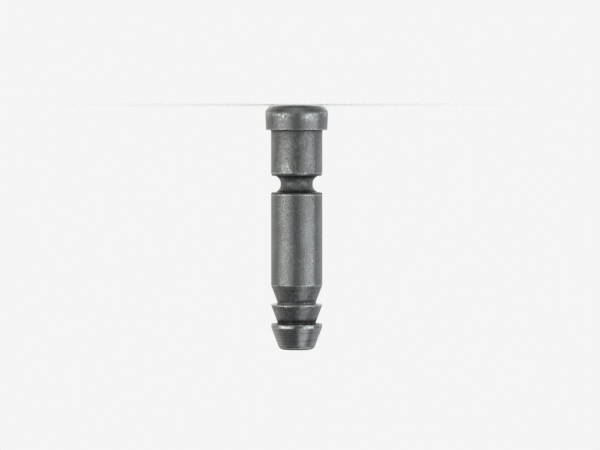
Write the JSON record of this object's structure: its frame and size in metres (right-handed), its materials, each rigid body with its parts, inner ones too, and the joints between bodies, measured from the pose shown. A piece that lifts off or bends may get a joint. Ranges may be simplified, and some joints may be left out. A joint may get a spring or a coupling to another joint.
{
  "type": "stop pin",
  "caption": "Headed cylindrical stop pin in dark steel with a round-bottomed groove round the shank, ring barbs on the press-in end and a blunt tapered tip.",
  "frame": {"origin": "centre of the head's flat end face, on the pin's axis", "axes": "+Z along the pin's axis, from the head's end face to the barbed tip; the pin is round, so X and Y are free"},
  "size_m": [0.0098, 0.0098, 0.038],
  "materials": {
    "black_oxide_steel": "satin dark oxide finish with fine grain and faint turning marks, worn bright on the edges"
  },
  "bodies": {
    "root": {"stop_pin": "black_oxide_steel"}
  },
  "joints": []
}
